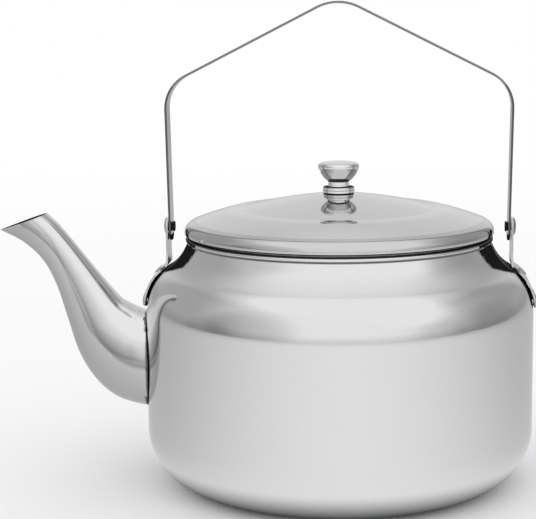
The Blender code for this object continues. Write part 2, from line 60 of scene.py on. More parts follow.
STRAINER_ROW_PITCH = STRAINER_PITCH * math.cos(math.radians(30))
SPOUT_WALL = 0.0008
SPOUT_FOOT = 0.036
SPOUT_STATIONS = [
    (-0.0120, 0.0480, -0.0120, 0.0000, 0.0460),
    (0.0005, 0.0480, 0.0010, 0.0002, 0.0460),
    (0.0050, 0.0494, 0.0160, 0.0045, 0.0420),
    (0.0088, 0.0513, 0.0270, 0.0138, 0.0370),
    (0.0134, 0.0540, 0.0350, 0.0270, 0.0315),
    (0.0184, 0.0595, 0.0405, 0.0440, 0.0255),
    (0.0274, 0.0705, 0.0460, 0.0613, 0.0195),
    (0.0370, 0.0826, 0.0525, 0.0735, 0.0160),
    (0.0440, 0.0910, 0.0622, 0.0825, 0.0155),
    (0.0499, 0.0966, 0.0736, 0.0884, 0.0165),
]
SPOUT_ROOT_HEIGHT = SPOUT_STATIONS[0][1] - SPOUT_STATIONS[0][3]
SPOUT_BEAK = 0.45
SPOUT_BEAK_START_RATIO = 0.7
LID_OVERHANG = 0.0005
LID_WALL = 0.0003
LID_REST_GAP = 0.0003
LID_HEM = 0.0009
LID_HEM_RISE = 0.0009
LID_EDGE_HEIGHT = 0.0022
LID_SHOULDER_ROUND = 0.005
LID_SHOULDER_ANGLE = math.radians(21.0)
LID_CONE_ANGLE = math.radians(9.8)
LID_CONE_RADIUS = 0.041
LID_SLOPES = [
    (0.0085, 8.0), (0.0200, 8.0), (0.0300, 10.5), (0.0400, 12.0), (0.0475, 13.0), (0.0483, 3.5),
    (0.0520, 7.0), (0.0545, 8.2), (0.0558, 15.0),
]
KNOB_BASE_RADIUS = 0.0077
KNOB_BASE_HEIGHT = 0.0031
KNOB_BASE_ROUND = 0.0007
KNOB_WAIST_RADIUS = 0.0051
KNOB_WAIST_HEIGHT = 0.0026
KNOB_BOWL_RADIUS = 0.010
KNOB_BOWL_HEIGHT = 0.0069
KNOB_BOWL_FULLNESS = 1.4
KNOB_CROWN_HEIGHT = 0.0026
KNOB_CROWN_FULLNESS = 4.0
KNOB_BORE_DEPTH = 0.0089
SCREW_RADIUS = 0.002
EAR_THICKNESS = 0.001
EAR_TAB_OUTSIDE_CREASE = 0.0046
EAR_TAB_WIDTH = 0.014
EAR_TAB_CORNER = 0.004
EAR_TAB_ABOVE_PIVOT = 0.0044
EAR_PLATE_WIDTH = 0.026
EAR_PLATE_CORNER = 0.007
EAR_PLATE_START = 0.0012
EAR_PLATE_END = 0.0203
EAR_BEND_ROUND = 0.002
EAR_FLARE_ABOVE_BEND = 0.006
EAR_FLARE_BELOW_BEND = 0.008
EAR_RIVET_RADIUS = 0.0016
EAR_RIVET_HEAD_RADIUS = 0.003
EAR_RIVET_HEAD_HEIGHT = 0.0006
EAR_RIVET_TAIL_RADIUS = 0.0026
EAR_RIVET_TAIL_HEIGHT = 0.0009
EAR_RIVET_UPPER_DEPTH = 0.004
EAR_RIVET_LOWER_DEPTH = 0.0165
EAR_RIVET_SPREAD = 0.007
PIVOT_ABOVE_CREASE = 0.0188
BAIL_THICKNESS = 0.0011
BAIL_WIDTH = 0.0125
BAIL_SIDE_GAP = 0.0005
BAIL_END_BELOW_PIVOT = 0.0068
BAIL_CORNER_ABOVE_PIVOT = 0.0690
BAIL_CORNER_SPREAD = 0.0014
BAIL_APEX_ABOVE_PIVOT = 0.1115
BAIL_CORNER_ROUND = 0.018
BAIL_APEX_ROUND = 0.0225
PIVOT_RADIUS = 0.002
PIVOT_HEAD_RADIUS = 0.00435
PIVOT_HEAD_HEIGHT = 0.0013
PIVOT_TAIL_RADIUS = 0.0025
PIVOT_TAIL_HEIGHT = 0.0009

CREASE_RADIUS = BODY_RADIUS - SHOULDER_RUN
CREASE_HEIGHT = WALL_TOP + SHOULDER_RISE
NECK_TOP_RADIUS = CREASE_RADIUS - NECK_RUN
RIM_HEIGHT = CREASE_HEIGHT + NECK_RISE
MOUTH_RADIUS = NECK_TOP_RADIUS - BODY_WALL
RIM_TOP = RIM_HEIGHT + RIM_BEAD
LID_RADIUS = MOUTH_RADIUS + 2 * RIM_BEAD + LID_OVERHANG
EAR_TAB_REACH = CREASE_RADIUS + EAR_TAB_OUTSIDE_CREASE
PIVOT_HEIGHT = CREASE_HEIGHT + PIVOT_ABOVE_CREASE
BORE_RADIUS = SCREW_RADIUS + HOLE_CLEARANCE

# Steps of the fine surface
BODY_STEPS = 240
BASE_STEPS = 6
BASE_ROUND_STEPS = 36
WALL_STEPS = 14
SHOULDER_STEPS = 40
CREASE_STEPS = 18
NECK_STEPS = 6
BEAD_STEPS = 24
STRAINER_STEPS = 24
LID_STEPS = 240
LID_STEP = 0.0003
LID_SHOULDER_STEPS = 28
LID_CROWN_STEPS = 24
LID_HEM_STEPS = 16
KNOB_STEPS = 96
KNOB_FOOT_STEPS = 8
KNOB_WAIST_STEPS = 12
KNOB_CURVE_STEPS = 28
EAR_SIDE_STEPS = 20
EAR_BEND_STEPS = 10
EAR_FLARE_STEPS = 8
EAR_CORNER_DEGREES = 8
RIVET_STEPS = 32
RIVET_DOME_DEGREES = 9
BAIL_BEND_STEPS = 24
BAIL_END_DEGREES = 7
SPOUT_STEPS = 72
SPOUT_SUBSTEPS = 8
EDGE_ROUND = 0.00022
SHARP_ANGLE = 40.0


# Paths


def arc(centre, radius, start, end, steps):
    """Points of an arc in degrees, both ends included."""
    points = []
    for i in range(steps + 1):
        angle = math.radians(start + (end - start) * i / steps)
        points.append((centre[0] + radius * math.cos(angle), centre[1] + radius * math.sin(angle)))
    return points


def line(start, end, steps):
    """Points of a straight run without its two ends."""
    return [tuple(Vector(start).lerp(Vector(end), i / steps)) for i in range(1, steps)]


def offset_path(points, distance):
    """The path shifted to its left by distance, with mitred corners."""
    shifted = []
    for i, point in enumerate(points):
        before = Vector(point) - Vector(points[i - 1]) if i else None
        after = Vector(points[i + 1]) - Vector(point) if i + 1 < len(points) else None
        normals = [Vector((-edge.y, edge.x)).normalized() for edge in (before, after) if edge]
        middle = sum(normals, Vector((0.0, 0.0))).normalized()
        shifted.append(tuple(Vector(point) + middle * distance / middle.dot(normals[0])))
    return shifted


def rounded_path(corners, radii, steps):
    """Straight runs through the corners, each inner corner rounded to its radius."""
    points = [corners[0]]
    for before, corner, after, radius in zip(corners, corners[1:], corners[2:], radii):
        corner = Vector(corner)
        back = (Vector(before) - corner).normalized()
        ahead = (Vector(after) - corner).normalized()
        half = back.angle(ahead) / 2
        centre = corner + (back + ahead).normalized() * radius / math.sin(half)
        first = corner + back * radius / math.tan(half) - centre
        last = corner + ahead * radius / math.tan(half) - centre
        turn = first.angle_signed(last)
        for i in range(steps + 1):
            spoke = first.copy()
            spoke.rotate(Matrix.Rotation(-turn * i / steps, 2))
            points.append(tuple(centre + spoke))
    points.append(corners[-1])
    return points


def full_quarter(width, height, fullness, steps):
    """A quarter curve from (width, 0) to (0, height); a fullness of 2 is an ellipse, more is squarer."""
    points = []
    for i in range(steps + 1):
        angle = math.radians(90.0 * i / steps)
        across = width * max(math.cos(angle), 0.0) ** (2.0 / fullness)
        points.append((across, height * math.sin(angle) ** (2.0 / fullness)))
    return points


def path_marks(path):
    """Distances along a path of its own points."""
    marks = [0.0]
    for a, b in zip(path, path[1:]):
        marks.append(marks[-1] + (Vector(b) - Vector(a)).length)
    return marks


def point_along(path, mark):
    """Point and left normal of a path at a distance along it."""
    left = mark
    for start, end in zip(path, path[1:]):
        edge = Vector(end) - Vector(start)
        if left <= edge.length:
            break
        left -= edge.length
    else:
        left = edge.length
    return Vector(start) + edge * min(left / edge.length, 1.0), Vector((-edge.y, edge.x)).normalized()


def matched_mark(marks, other, mark):
    """The distance along a parallel path that faces a distance along this one."""
    for a, b, c, d in zip(marks, marks[1:], other, other[1:]):
        if mark <= b:
            return c + (d - c) * (mark - a) / (b - a)
    return other[-1]


# Solids


def add_object(name, bm):
    """Turn a bmesh into a named object, shaded smooth up to the sharp angle."""
    bmesh.ops.recalc_face_normals(bm, faces=bm.faces)
    mesh = bpy.data.meshes.new(name)
    bm.to_mesh(mesh)
    bm.free()
    mesh.shade_smooth()
    mesh.set_sharp_from_angle(angle=math.radians(SHARP_ANGLE))
    node = bpy.data.objects.new(name, mesh)
    bpy.context.collection.objects.link(node)
    return node


def turned(name, outline, steps, closed=False):
    """A solid turned about Z from an outline of (radius, height) points."""
    bm = bmesh.new()
    ring = [bm.verts.new((radius, 0.0, height)) for radius, height in outline]
    edges = [bm.edges.new(pair) for pair in zip(ring, ring[1:])]
    if closed:
        edges.append(bm.edges.new((ring[-1], ring[0])))
    bmesh.ops.spin(bm, geom=ring + edges, cent=(0, 0, 0), axis=(0, 0, 1), angle=math.tau,
                   steps=steps, use_merge=True, use_duplicate=False)
    bmesh.ops.remove_doubles(bm, verts=bm.verts, dist=1e-6)
    return add_object(name, bm)


def lofted(name, loops, ring=False):
    """A solid skinned over loops of equal length; a ring joins its last loop to its first."""
    bm = bmesh.new()
    rows = [[bm.verts.new(point) for point in loop] for loop in loops]
    pairs = list(zip(rows, rows[1:]))
    if ring:
        pairs.append((rows[-1], rows[0]))
    else:
        bm.faces.new(rows[0])
        bm.faces.new(rows[-1])
    for first, second in pairs:
        for i in range(len(first)):
            j = (i + 1) % len(first)
            bm.faces.new((first[i], first[j], second[j], second[i]))
    return add_object(name, bm)


def cylinder(name, radius, place, direction, length, steps):
    """A cylinder round a place, along a direction."""
    half = length / 2
    tool = turned(name, [(0.0, -half), (radius, -half), (radius, half), (0.0, half)], steps)
    tool.location = place
    tool.rotation_euler = Vector(direction).to_track_quat("Z", "Y").to_euler()
    return tool


def apply_modifiers(node):
    """Bake an object's place and modifiers into its mesh."""
    bpy.context.view_layer.update()
    graph = bpy.context.evaluated_depsgraph_get()
    mesh = bpy.data.meshes.new_from_object(node.evaluated_get(graph))
    mesh.transform(node.matrix_world)
    node.modifiers.clear()
    node.matrix_world = Matrix.Identity(4)
    node.data = mesh


def cut(node, tools):
    """Take the tools' volumes away from the node in one go, and delete the tools."""
    bm = bmesh.new()
    bpy.context.view_layer.update()
    for tool in tools:
        tool.data.transform(tool.matrix_world)
        bm.from_mesh(tool.data)
        bpy.data.objects.remove(tool)
    joined = add_object("joined_tools", bm)
    boolean = node.modifiers.new("cut", "BOOLEAN")
    boolean.operation = "DIFFERENCE"
    boolean.object = joined
    apply_modifiers(node)
    bpy.data.objects.remove(joined)


def soften(node):
    """Round the sharp edges a little."""
    bevel = node.modifiers.new("soften", "BEVEL")
    bevel.width = EDGE_ROUND
    bevel.segments = 2
    bevel.limit_method = "ANGLE"
    bevel.angle_limit = math.radians(SHARP_ANGLE)
    bevel.harden_normals = True
    apply_modifiers(node)


# Pot


def shoulder_point(height):
    """Radius of the shoulder's outside at a height, and its outward normal in the (r, z) plane."""
    rise = (height - WALL_TOP) / SHOULDER_RISE
    run = math.sqrt(1.0 - rise * rise)
    normal = Vector((run / SHOULDER_RUN, rise / SHOULDER_RISE)).normalized()
    return Vector((CREASE_RADIUS + SHOULDER_RUN * run, height)), normal


def body_outside():
    """Outside of the body, from the middle of the base up to the rim's bead."""
    points = [(0.0, 0.0)] + line((0.0, 0.0), (BODY_RADIUS - BASE_ROUND, 0.0), BASE_STEPS)
    points += arc((BODY_RADIUS - BASE_ROUND, BASE_ROUND), BASE_ROUND, -90, 0, BASE_ROUND_STEPS)
    points += line((BODY_RADIUS, BASE_ROUND), (BODY_RADIUS, WALL_TOP), WALL_STEPS)
    end_angle = math.radians(CREASE_START)
    for i in range(SHOULDER_STEPS + 1):
        angle = end_angle * i / SHOULDER_STEPS
        points.append((CREASE_RADIUS + SHOULDER_RUN * math.cos(angle),
                       WALL_TOP + SHOULDER_RISE * math.sin(angle)))
    crease = Vector((CREASE_RADIUS, CREASE_HEIGHT))
    neck_top = Vector((NECK_TOP_RADIUS, RIM_HEIGHT - RIM_BEAD))
    neck = (neck_top - crease).normalized()
    first = Vector(points[-1])
    ahead = Vector((-SHOULDER_RUN * math.sin(end_angle), SHOULDER_RISE * math.cos(end_angle)))
    ahead.normalize()
    turn = ahead.x * neck.y - ahead.y * neck.x
    reach = ((crease - first).x * neck.y - (crease - first).y * neck.x) / turn
    middle = first + ahead * reach
    last = middle + neck * reach
    for i in range(1, CREASE_STEPS + 1):
        t = i / CREASE_STEPS
        points.append(tuple(first * (1 - t) ** 2 + middle * 2 * t * (1 - t) + last * t ** 2))
    points += line(last, neck_top, NECK_STEPS)
    points.append(tuple(neck_top))
    return points


def make_body():
    """The pot, with its strainer holes; the ears cut the holes for their rivets into it later."""
    outside = body_outside()
    inside = offset_path(outside[1:], BODY_WALL)
    bead = arc((MOUTH_RADIUS + RIM_BEAD, RIM_HEIGHT), RIM_BEAD, -80, 180, BEAD_STEPS)
    body = turned("pot", outside + bead + inside[::-1] + [(0.0, BODY_WALL)], BODY_STEPS)
    tools = []
    rows = math.ceil(STRAINER_RADIUS / STRAINER_PITCH)
    middle = SPOUT_FOOT + SPOUT_ROOT_HEIGHT / 2
    for row in range(-rows, rows + 1):
        for column in range(-rows, rows + 1):
            y = (column + 0.5 * (row % 2)) * STRAINER_PITCH
            z = row * STRAINER_ROW_PITCH
            if math.hypot(y, z) <= STRAINER_RADIUS:
                tools.append(cylinder("strainer_tool", STRAINER_HOLE / 2, (-BODY_RADIUS, y, middle + z),
                                      (1, 0, 0), CUT_LENGTH, STRAINER_STEPS))
    cut(body, tools)
    return body


# Spout


def smooth_rows(rows, substeps):
    """Rows of numbers, with Catmull-Rom rows between them."""
    result = []
    for i in range(len(rows) - 1):
        before = rows[max(i - 1, 0)]
        after = rows[min(i + 2, len(rows) - 1)]
        for k in range(substeps):
            t = k / substeps
            result.append([
                0.5 * (2 * b + (c - a) * t + (2 * a - 5 * b + 4 * c - d) * t * t
                       + (3 * b - a - 3 * c + d) * t * t * t)
                for a, b, c, d in zip(before, rows[i], rows[i + 1], after)
            ])
    result.append(list(rows[-1]))
    return result


def spout_loops(wall):
    """Sections of the spout from root to mouth, shrunk by the wall."""
    loops = []
    rows = smooth_rows(SPOUT_STATIONS, SPOUT_SUBSTEPS)
    for i, (upper_out, upper_up, lower_out, lower_up, width) in enumerate(rows):
        upper = Vector((-BODY_RADIUS - upper_out, 0.0, SPOUT_FOOT + upper_up))
        lower = Vector((-BODY_RADIUS - lower_out, 0.0, SPOUT_FOOT + lower_up))
        middle = (upper + lower) / 2
        half = (upper - lower) / 2
        along = half.normalized() * (half.length - wall)
        across = width / 2 - wall
        reach = i / (len(rows) - 1)
        beak = SPOUT_BEAK * max(0.0, reach - SPOUT_BEAK_START_RATIO) / (1.0 - SPOUT_BEAK_START_RATIO)
        loop = []
        for k in range(SPOUT_STEPS):
            angle = math.tau * k / SPOUT_STEPS
            swell = 1.0 + beak * math.cos(angle)
            loop.append(middle + along * math.cos(angle)
                        + Vector((0.0, across * math.sin(angle) * swell, 0.0)))
        loops.append(loop)
    return loops


def make_spout():
    """The spout, its root cut to the body's wall."""
    outer = spout_loops(0.0)
    inner = spout_loops(SPOUT_WALL)
    spout = lofted("spout_tube", outer + inner[::-1], ring=True)
    skin = offset_path(body_outside()[:-1], -SEAM)
    envelope = turned("root_tool", [(0.0, -SEAM)] + skin[1:] + [(0.0, skin[-1][1])], BODY_STEPS)
    cut(spout, [envelope])
    return spout


# Lid and knob


def lid_outside():
    """Top of the lid from its land to its lower edge, as (radius, height)."""
    widest = RIM_TOP + LID_REST_GAP + LID_EDGE_HEIGHT
    centre = (LID_RADIUS - LID_SHOULDER_ROUND, widest)
    start = 90.0 - math.degrees(LID_SHOULDER_ANGLE)
    shoulder = arc(centre, LID_SHOULDER_ROUND, start, 0, LID_SHOULDER_STEPS)
    crown = []
    r_end, z_end = shoulder[0]
    turn = LID_SHOULDER_ANGLE - LID_CONE_ANGLE
    radius = (r_end - LID_CONE_RADIUS) / (math.sin(LID_SHOULDER_ANGLE) - math.sin(LID_CONE_ANGLE))
    for i in range(LID_CROWN_STEPS):
        angle = LID_CONE_ANGLE + turn * i / LID_CROWN_STEPS
        r = r_end - radius * (math.sin(LID_SHOULDER_ANGLE) - math.sin(angle))
        z = z_end + radius * (math.cos(angle) - math.cos(LID_SHOULDER_ANGLE))
        crown.append((r, z))
    crown = [point for point in crown if point[0] > LID_SLOPES[-1][0]]
    radius, height = crown[0]
    slope = LID_SLOPES[-1][1]
    middle = []
    while radius > LID_SLOPES[0][0]:
        for (r_low, low), (r_high, high) in zip(LID_SLOPES, LID_SLOPES[1:]):
            if r_low <= radius <= r_high:
                slope = low + (high - low) * (radius - r_low) / (r_high - r_low)
        radius -= LID_STEP
        height += LID_STEP * math.tan(math.radians(slope))
        middle.append((radius, height))
    return middle[::-1] + crown + shoulder


LAND_HEIGHT = lid_outside()[0][1]
KNOB_FOOT = LAND_HEIGHT + SEAM


def make_lid():
    """The lid's crown, with a hem round its edge and a hole for the knob's screw."""
    outside = lid_outside()
    inside = offset_path(outside, -LID_WALL)
    edge = RIM_TOP + LID_REST_GAP + LID_HEM + LID_HEM_RISE
    hem = arc((LID_RADIUS - LID_HEM, edge), LID_HEM, 0, -180, LID_HEM_STEPS)
    outline = [(BORE_RADIUS, LAND_HEIGHT)] + outside + hem + inside[::-1]
    outline.append((BORE_RADIUS, LAND_HEIGHT - LID_WALL))
    return turned("lid_crown", outline, LID_STEPS, closed=True)


def make_knob():
    """The turned knob, bored from below for its screw."""
    waist_foot = KNOB_FOOT + KNOB_BASE_HEIGHT
    bowl_foot = waist_foot + KNOB_WAIST_HEIGHT
    bowl_top = bowl_foot + KNOB_BOWL_HEIGHT
    corner = KNOB_BASE_ROUND
    outline = [(0.0, KNOB_FOOT + KNOB_BORE_DEPTH), (BORE_RADIUS, KNOB_FOOT + KNOB_BORE_DEPTH),
               (BORE_RADIUS, KNOB_FOOT)]
    outline += arc((KNOB_BASE_RADIUS - corner / 2, KNOB_FOOT + corner / 2), corner / 2, -90, 0, 6)
    outline += line(outline[-1], (KNOB_BASE_RADIUS, waist_foot - corner), KNOB_FOOT_STEPS)
    outline += arc((KNOB_BASE_RADIUS - corner, waist_foot - corner), corner, 0, 90, 10)
    outline += [(KNOB_WAIST_RADIUS, waist_foot)]
    outline += line((KNOB_WAIST_RADIUS, waist_foot), (KNOB_WAIST_RADIUS, bowl_foot), KNOB_WAIST_STEPS)
    bowl_width = KNOB_BOWL_RADIUS - KNOB_WAIST_RADIUS
    bowl = full_quarter(bowl_width, KNOB_BOWL_HEIGHT, KNOB_BOWL_FULLNESS, KNOB_CURVE_STEPS)
    outline += [(KNOB_WAIST_RADIUS + across, bowl_top - down) for across, down in bowl[::-1]]
    crown = full_quarter(KNOB_BOWL_RADIUS, KNOB_CROWN_HEIGHT, KNOB_CROWN_FULLNESS, KNOB_CURVE_STEPS)
    outline += [(across, bowl_top + up) for across, up in crown[1:]]
    return turned("lid_knob", outline, KNOB_STEPS)


# Ears, rivets and bail


def ear_path():
    """Outer face of an ear, from the top of its tab to the end of its plate, in the (x, z) plane."""
    reach = SEAM + EAR_THICKNESS
    plate = []
    for i in range(EAR_SIDE_STEPS + 1):
        depth = EAR_PLATE_START + (EAR_PLATE_END - EAR_PLATE_START) * i / EAR_SIDE_STEPS
        point, normal = shoulder_point(CREASE_HEIGHT - depth)
        plate.append(tuple(point + normal * reach))
    plate = [p for p in plate if p[0] > EAR_TAB_REACH + EAR_BEND_ROUND]
    first, second = plate[0], plate[1]
    slope = (second[1] - first[1]) / (second[0] - first[0])
    bend = (EAR_TAB_REACH, first[1] + slope * (EAR_TAB_REACH - first[0]))
    top = (EAR_TAB_REACH, PIVOT_HEIGHT + EAR_TAB_ABOVE_PIVOT)
    return rounded_path([top, bend, first], [EAR_BEND_ROUND], EAR_BEND_STEPS)[:-1] + plate


def ear_half_width(along, total, bend_at):
    """Half the ear's width at a distance along its outer face."""
    flare = EAR_FLARE_ABOVE_BEND + EAR_FLARE_BELOW_BEND
    blend = min(max((along - bend_at + EAR_FLARE_ABOVE_BEND) / flare, 0.0), 1.0)
    blend = blend * blend * (3.0 - 2.0 * blend)
    half = (EAR_TAB_WIDTH + (EAR_PLATE_WIDTH - EAR_TAB_WIDTH) * blend) / 2
    for corner, distance in ((EAR_TAB_CORNER, along), (EAR_PLATE_CORNER, total - along)):
        if distance < corner:
            half -= corner - math.sqrt(max(corner ** 2 - (corner - distance) ** 2, 0.0))
    return half


def rivet(name, head_radius, head_height, radius, grip, tail_radius, tail_height):
    """A rivet along Z: a head above Z = 0, and below the grip a tail rounded by a third of its height."""
    chamfer = tail_height / 3
    outline = [(0.0, -grip - tail_height), (tail_radius - chamfer, -grip - tail_height)]
    outline += arc((tail_radius - chamfer, -grip - tail_height + chamfer), chamfer, -90, 0, 5)[1:]
    outline += [(tail_radius, -grip), (radius, -grip), (radius, 0.0)]
    outline += [(head_radius * math.cos(math.radians(a)), head_height * math.sin(math.radians(a)))
                for a in range(0, 90, RIVET_DOME_DEGREES)]
    outline.append((0.0, head_height))
    return turned(name, outline, RIVET_STEPS)


def make_ear(name, side, body):
    """A bent plate with a tab for the bail's pivot, its three rivets and its pivot rivet."""
    outer = ear_path()
    inner = offset_path(outer, -EAR_THICKNESS)
    outer_marks = path_marks(outer)
    inner_marks = path_marks(inner)
    total = outer_marks[-1]
    bend_at = outer_marks[EAR_BEND_STEPS // 2]
    top = [EAR_TAB_CORNER * (1 - math.cos(math.radians(a)))
           for a in range(EAR_CORNER_DEGREES, 91, EAR_CORNER_DEGREES)]
    foot = [total - EAR_PLATE_CORNER * (1 - math.cos(math.radians(a)))
            for a in range(90, 5, -EAR_CORNER_DEGREES)]
    flare = [bend_at - EAR_FLARE_ABOVE_BEND * k / EAR_FLARE_STEPS for k in range(EAR_FLARE_STEPS)]
    loops = []
    for mark in sorted(set(outer_marks + top + foot + flare)):
        front = point_along(outer, mark)[0]
        back = point_along(inner, matched_mark(outer_marks, inner_marks, mark))[0]
        half = ear_half_width(mark, total, bend_at)
        loops.append([Vector((side * front.x, -half, front.y)), Vector((side * front.x, half, front.y)),
                      Vector((side * back.x, half, back.y)), Vector((side * back.x, -half, back.y))])
    ear = lofted(name + "_plate", loops)
    tools = [cylinder("pivot_tool", PIVOT_RADIUS + HOLE_CLEARANCE,
                      (side * EAR_TAB_REACH, 0.0, PIVOT_HEIGHT), (1, 0, 0), CUT_LENGTH, RIVET_STEPS)]
    body_tools = []
    pieces = []
    places = [(EAR_RIVET_UPPER_DEPTH, 0.0), (EAR_RIVET_LOWER_DEPTH, -EAR_RIVET_SPREAD),
              (EAR_RIVET_LOWER_DEPTH, EAR_RIVET_SPREAD)]
    for i, (depth, across) in enumerate(places, start=1):
        point, normal = shoulder_point(CREASE_HEIGHT - depth)
        edge = abs(across) + EAR_RIVET_HEAD_RADIUS
        sag = point.x - math.sqrt(point.x ** 2 - edge ** 2)
        grip = EAR_THICKNESS + 4 * SEAM + BODY_WALL + sag
        seat = point + normal * (EAR_THICKNESS + 2 * SEAM)
        place = Vector((side * seat.x, across, seat.y))
        axis = Vector((side * normal.x, 0.0, normal.y))
        node = rivet(f"{name}_fastener_{i}", EAR_RIVET_HEAD_RADIUS, EAR_RIVET_HEAD_HEIGHT,
                     EAR_RIVET_RADIUS, grip, EAR_RIVET_TAIL_RADIUS, EAR_RIVET_TAIL_HEIGHT)
        node.location = place
        node.rotation_euler = axis.to_track_quat("Z", "Y").to_euler()
        apply_modifiers(node)
        pieces.append((node, f"{name}_rivet_{i}"))
        for group in (tools, body_tools):
            group.append(cylinder("rivet_tool", EAR_RIVET_RADIUS + HOLE_CLEARANCE, place, axis,
                                  CUT_LENGTH, RIVET_STEPS))
    cut(ear, tools)
    cut(body, body_tools)
    soften(ear)
    grip = EAR_THICKNESS + BAIL_SIDE_GAP + BAIL_THICKNESS + 2 * SEAM
    pivot = rivet(name + "_pivot_fastener", PIVOT_HEAD_RADIUS, PIVOT_HEAD_HEIGHT, PIVOT_RADIUS, grip,
                  PIVOT_TAIL_RADIUS, PIVOT_TAIL_HEIGHT)
    pivot.location = (side * (EAR_TAB_REACH + SEAM), 0.0, PIVOT_HEIGHT)
    pivot.rotation_euler = Vector((side, 0, 0)).to_track_quat("Z", "Y").to_euler()
    apply_modifiers(pivot)
    pieces.append((pivot, name.replace("ear", "pivot")))
    return ear, pieces


def bail_path():
    """Middle line of the bail's strip, in the (x, z) plane and from the pivots, from end to end."""
    leg = EAR_TAB_REACH - EAR_THICKNESS - BAIL_SIDE_GAP - BAIL_THICKNESS / 2
    foot = -BAIL_END_BELOW_PIVOT
    corner = leg + BAIL_CORNER_SPREAD
    corners = [(leg, foot), (corner, BAIL_CORNER_ABOVE_PIVOT), (0.0, BAIL_APEX_ABOVE_PIVOT),
               (-corner, BAIL_CORNER_ABOVE_PIVOT), (-leg, foot)]
    return rounded_path(corners, [BAIL_CORNER_ROUND, BAIL_APEX_ROUND, BAIL_CORNER_ROUND], BAIL_BEND_STEPS)


def make_bail():
    """The bail: a strip bent to a peak, rounded at its two ends and drilled for the pivots."""
    path = bail_path()
    total = path_marks(path)[-1]
    round_end = BAIL_WIDTH / 2
    near = [round_end * (1 - math.cos(math.radians(a))) for a in range(6, 91, BAIL_END_DEGREES)]
    marks = sorted(set(near + [total - mark for mark in near] + path_marks(path)[1:-1]))
    loops = []
    for mark in marks:
        point, normal = point_along(path, mark)
        end = min(mark, total - mark)
        half = round_end
        if end < round_end:
            half = math.sqrt(round_end ** 2 - (round_end - end) ** 2)
        outer = point - normal * BAIL_THICKNESS / 2
        inner = point + normal * BAIL_THICKNESS / 2
        loops.append([Vector((outer.x, -half, outer.y)), Vector((outer.x, half, outer.y)),
                      Vector((inner.x, half, inner.y)), Vector((inner.x, -half, inner.y))])
    bail = lofted("bail_strip", loops)
    bail.location = (0.0, 0.0, PIVOT_HEIGHT)
    tools = [cylinder("bail_tool", PIVOT_RADIUS + HOLE_CLEARANCE,
                      (side * EAR_TAB_REACH, 0.0, PIVOT_HEIGHT), (1, 0, 0), CUT_LENGTH, RIVET_STEPS)
             for side in (-1, 1)]
    cut(bail, tools)
    soften(bail)
    return bail


# Materials


# Dirt and painted shade: the share of the colour left where they are thickest, and the amounts over which
# the metal turns plain dark
SHADE_AND_GRIME_SHARE = 0.02
SHADE_AND_GRIME_METAL_RANGE = (0.5, 0.9)
SATIN_ROUGHNESS = 0.30
LEAST_ROUGHNESS = 0.02
NOISE_ROUGHNESS = 0.55
TONE_SPREAD = 0.03
SPECK_SCALE = 900.0
SMUDGE_SCALE = 28.0
SCUFF_SCALE = 70.0
SCUFF_STRETCH = (1.0, 1.0, 9.0)
SCUFF_RANGE = (0.62, 0.72)
GRAIN_SCALE = 2600.0
GRAIN_HEIGHT = 0.0004
GRAIN_STRETCHES = {"none": (1.0, 1.0, 1.0), "turned": (0.02, 0.02, 1.0), "along": (0.02, 1.0, 0.02)}
WAVE_SCALE = 22.0
WAVE_HEIGHT = 0.002


def ramp(tree, value, start=(0.0, 1.0), end=(0.0, 1.0), smooth=False):
    """A socket that carries a value from its start range to the end range."""
    node = tree.nodes.new("ShaderNodeMapRange")
    node.interpolation_type = "SMOOTHSTEP" if smooth else "LINEAR"
    for name, number in zip(("From Min", "From Max", "To Min", "To Max"), start + end):
        node.inputs[name].default_value = number
    tree.links.new(value, node.inputs["Value"])
    return node.outputs["Result"]


def grey(shade):
    """An opaque grey."""
    return (shade, shade, shade, 1.0)


